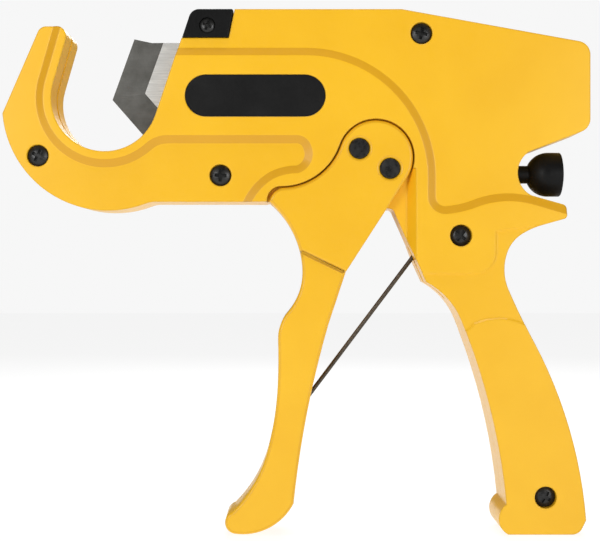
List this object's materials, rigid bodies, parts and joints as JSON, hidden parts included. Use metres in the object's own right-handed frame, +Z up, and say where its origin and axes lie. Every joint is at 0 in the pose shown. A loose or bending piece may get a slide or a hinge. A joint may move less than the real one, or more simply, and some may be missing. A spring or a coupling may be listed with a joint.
{
  "type": "ratchet pipe shears",
  "caption": "Pistol-grip ratchet cutter for plastic pipe, with a hook jaw, sliding blade, squeeze trigger and push knob that frees the ratchet.",
  "frame": {"origin": "centre of the round pipe seat, on the plane where the two casting halves meet", "axes": "+X from the jaw towards the tail, along the blade's travel; +Z up, away from the grip; +Y through the thickness, towards the back half; the front half with the screw heads faces -Y"},
  "size_m": [0.2594, 0.03, 0.2318],
  "materials": {
    "body_paint": "semi-gloss yellow powder coat",
    "black_plastic": "satin black",
    "badge_plastic": "satin black, blank",
    "blade_steel": "ground",
    "black_steel": "black oxide",
    "spring_steel": "oiled spring wire",
    "machined_steel": "machined"
  },
  "bodies": {
    "housing": {"housing_front": "body_paint", "housing_rear": "body_paint", "slot_cap": "black_plastic", "cap_screw": "black_steel", "housing_screws": "black_steel", "badge_front": "badge_plastic", "badge_rear": "badge_plastic", "anchor_pin": "machined_steel", "housing_dowel_1": "machined_steel", "housing_dowel_2": "machined_steel", "housing_dowel_3": "machined_steel", "holding_pawl_pin": "machined_steel", "blade_return_spring": "spring_steel", "knob_spring": "spring_steel"},
    "blade_slide": {"blade": "blade_steel", "blade_carrier": "machined_steel", "blade_pin_1": "machined_steel", "blade_pin_2": "machined_steel", "carrier_pin": "machined_steel"},
    "trigger": {"lever": "body_paint", "pivot_pin": "black_steel", "link_pin": "black_steel", "drive_arm": "machined_steel", "drive_pawl_pin": "machined_steel"},
    "drive_pawl": {"drive_pawl": "machined_steel"},
    "trigger_spring": {"lever_return_spring": "spring_steel"},
    "release": {"release_knob": "black_plastic", "release_rod": "machined_steel", "rod_clip": "machined_steel"},
    "holding_pawl": {"holding_pawl": "machined_steel"}
  },
  "joints": [
    {"name": "blade_travel", "type": "slide", "parent": "housing", "child": "blade_slide", "axis": [-1, 0, 0], "range_m": [-0.025, 0.027], "deforming": ["blade_return_spring"]},
    {"name": "trigger_squeeze", "type": "hinge", "parent": "housing", "child": "trigger", "pos_m": [0.1257, 0, -0.0311], "axis": [0, -1, 0], "range_deg": [0, 30], "stiffness_Nm_per_rad": 1.5, "springref_deg": -20.05},
    {"name": "drive_pawl_swing", "type": "hinge", "parent": "trigger", "child": "drive_pawl", "pos_m": [0.1207, 0, -0.0186], "axis": [0, -1, 0], "range_deg": [-45, 0]},
    {"name": "trigger_spring_swing", "type": "hinge", "parent": "housing", "child": "trigger_spring", "pos_m": [0.1569, 0, -0.0607], "axis": [0, -1, 0], "range_deg": [0, 40.6]},
    {"name": "release_push", "type": "slide", "parent": "housing", "child": "release", "axis": [-1, 0, 0], "range_m": [0, 0.0025], "stiffness_N_per_m": 900, "springref_m": -0.004, "deforming": ["knob_spring"]},
    {"name": "holding_pawl_swing", "type": "hinge", "parent": "housing", "child": "holding_pawl", "pos_m": [0.15, 0, -0.022], "axis": [0, 1, 0], "range_deg": [0, 13.1]}
  ],
  "couplings": [
    {"joint": "drive_pawl_swing", "follows": "trigger_squeeze", "ratio": -1.5},
    {"joint": "trigger_spring_swing", "follows": "trigger_squeeze", "ratio": 1.35},
    {"joint": "holding_pawl_swing", "follows": "release_push", "rad_per_m": 90.757}
  ]
}
